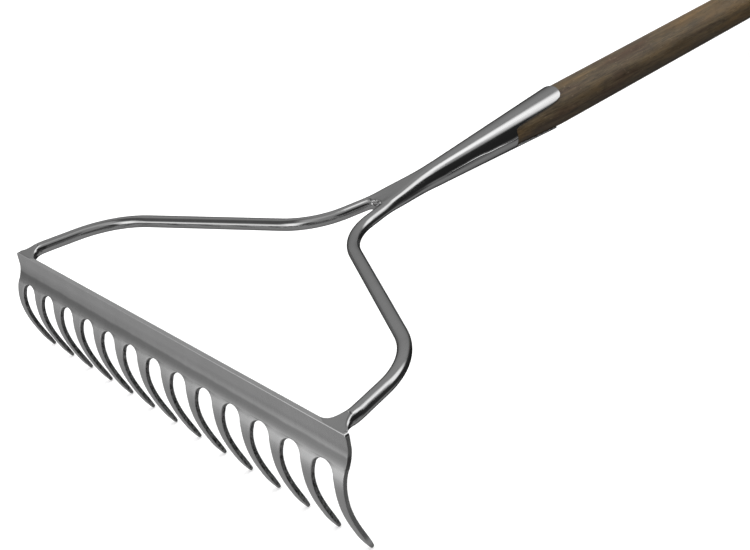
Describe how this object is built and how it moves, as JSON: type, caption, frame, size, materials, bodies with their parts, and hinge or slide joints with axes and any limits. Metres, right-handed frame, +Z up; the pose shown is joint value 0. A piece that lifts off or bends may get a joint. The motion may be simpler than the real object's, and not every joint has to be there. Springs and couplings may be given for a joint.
{
  "type": "bow rake",
  "caption": "Garden rake with a curved stamped tine bar, held by two bent rods that meet in a neck and strapped socket on a long round wooden shaft.",
  "frame": {"origin": "the middle of the part's box on its lowest level, where the tine tips and the shaft's far end rest", "axes": "+X across the head, +Y along the shaft from the head to the user's end, +Z up with the tines pointing down; the shaft's axis falls 2.2 degrees towards +Y"},
  "size_m": [0.353, 1.689, 0.0794],
  "materials": {
    "stamped_steel": "satin stainless steel",
    "polished_steel": "polished stainless steel",
    "screw_steel": "plain stainless steel",
    "stained_ash": "dark stained ash with a satin clear coat"
  },
  "bodies": {
    "root": {"tine_bar": "stamped_steel", "bow_arm_left": "polished_steel", "bow_arm_right": "polished_steel", "neck": "polished_steel", "socket_upper_strap": "polished_steel", "socket_lower_strap": "polished_steel", "shaft": "stained_ash", "strap_screw_front": "screw_steel", "strap_screw_rear": "screw_steel"}
  },
  "joints": []
}
